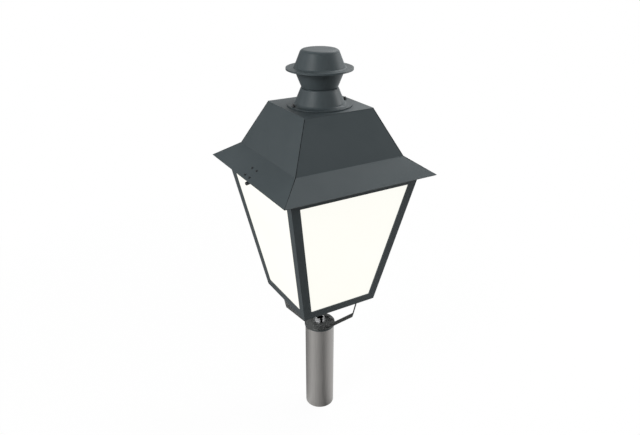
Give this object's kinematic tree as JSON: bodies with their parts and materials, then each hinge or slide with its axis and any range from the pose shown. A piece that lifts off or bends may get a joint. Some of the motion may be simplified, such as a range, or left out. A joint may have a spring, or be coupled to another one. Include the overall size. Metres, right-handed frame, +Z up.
{
  "type": "led pedestrian lantern",
  "caption": "Post-top pedestrian lantern: tapered glazed body of opal panels on a bent spider, under a hinged hipped roof with a flared eave and a spun chimney.",
  "frame": {"origin": "centre of the post stub's lower end", "axes": "+Z up along the post, glazed front to -Y, roof latch to -X, roof hinge to +X"},
  "size_m": [0.41, 0.41, 1.0323],
  "materials": {
    "coated_sheet": "fine matt powder coat",
    "post_metal": "satin",
    "black_fixings": "black oxide",
    "dull_steel": "dull grey",
    "plated_steel": "bright zinc plate",
    "bare_sheet": "mill",
    "heat_sink": "extruded",
    "opal": "opal, satin",
    "seal": "matt",
    "black_plastic": "moulded",
    "white_plastic": "moulded",
    "led_board": "white solder mask",
    "lens": "clear moulded"
  },
  "bodies": {
    "lantern_base": {"post": "post_metal", "post_cap": "coated_sheet", "spider": "coated_sheet", "hub_bolts": "dull_steel", "threaded_nipple": "plated_steel", "nipple_locknut": "dull_steel", "arm_bolts": "dull_steel", "base_plate": "coated_sheet", "cable_gland": "black_plastic", "gland_nut": "black_plastic", "corner_post_front_left": "coated_sheet", "corner_post_front_right": "coated_sheet", "corner_post_back_right": "coated_sheet", "corner_post_back_left": "coated_sheet", "bottom_rail_front": "coated_sheet", "bottom_rail_right": "coated_sheet", "bottom_rail_back": "coated_sheet", "bottom_rail_left": "coated_sheet", "top_rail_front": "coated_sheet", "top_rail_right": "coated_sheet", "top_rail_back": "coated_sheet", "top_rail_left": "coated_sheet", "opal_panel_front": "opal", "opal_panel_right": "opal", "opal_panel_back": "opal", "opal_panel_left": "opal", "glazing_beads": "bare_sheet", "lid_gasket": "seal", "hinge_leaf_body": "coated_sheet", "hinge_pin": "plated_steel", "latch_keeper": "coated_sheet"},
    "roof": {"roof_panel_front": "coated_sheet", "roof_panel_right": "coated_sheet", "roof_panel_back": "coated_sheet", "roof_panel_left": "coated_sheet", "roof_top_plate": "coated_sheet", "roof_frame_front": "bare_sheet", "roof_frame_right": "bare_sheet", "roof_frame_back": "bare_sheet", "roof_frame_left": "bare_sheet", "hinge_leaf_roof": "coated_sheet", "chimney_base": "coated_sheet", "chimney_bowl": "coated_sheet", "chimney_cap": "coated_sheet", "chimney_tie_rod": "plated_steel", "tie_rod_nut": "plated_steel", "chimney_gasket": "seal", "chimney_bolts": "black_fixings", "gear_tray": "bare_sheet", "heat_sink": "heat_sink", "led_board": "led_board", "lens_plate": "lens", "driver": "black_plastic", "surge_protector": "white_plastic", "terminal_block": "black_plastic", "latch_bracket": "coated_sheet", "latch_screws": "black_fixings"},
    "latch": {"latch_knob": "black_fixings", "latch_cam": "black_fixings"}
  },
  "joints": [
    {"name": "roof_hinge", "type": "hinge", "parent": "lantern_base", "child": "roof", "pos_m": [0.183, 0, 0.75609], "axis": [0, 1, 0], "range_deg": [0, 85]},
    {"name": "latch_turn", "type": "hinge", "parent": "roof", "child": "latch", "pos_m": [-0.17431, 0, 0.743], "axis": [-0.9828, 0, -0.1849], "range_deg": [0, 90]}
  ]
}
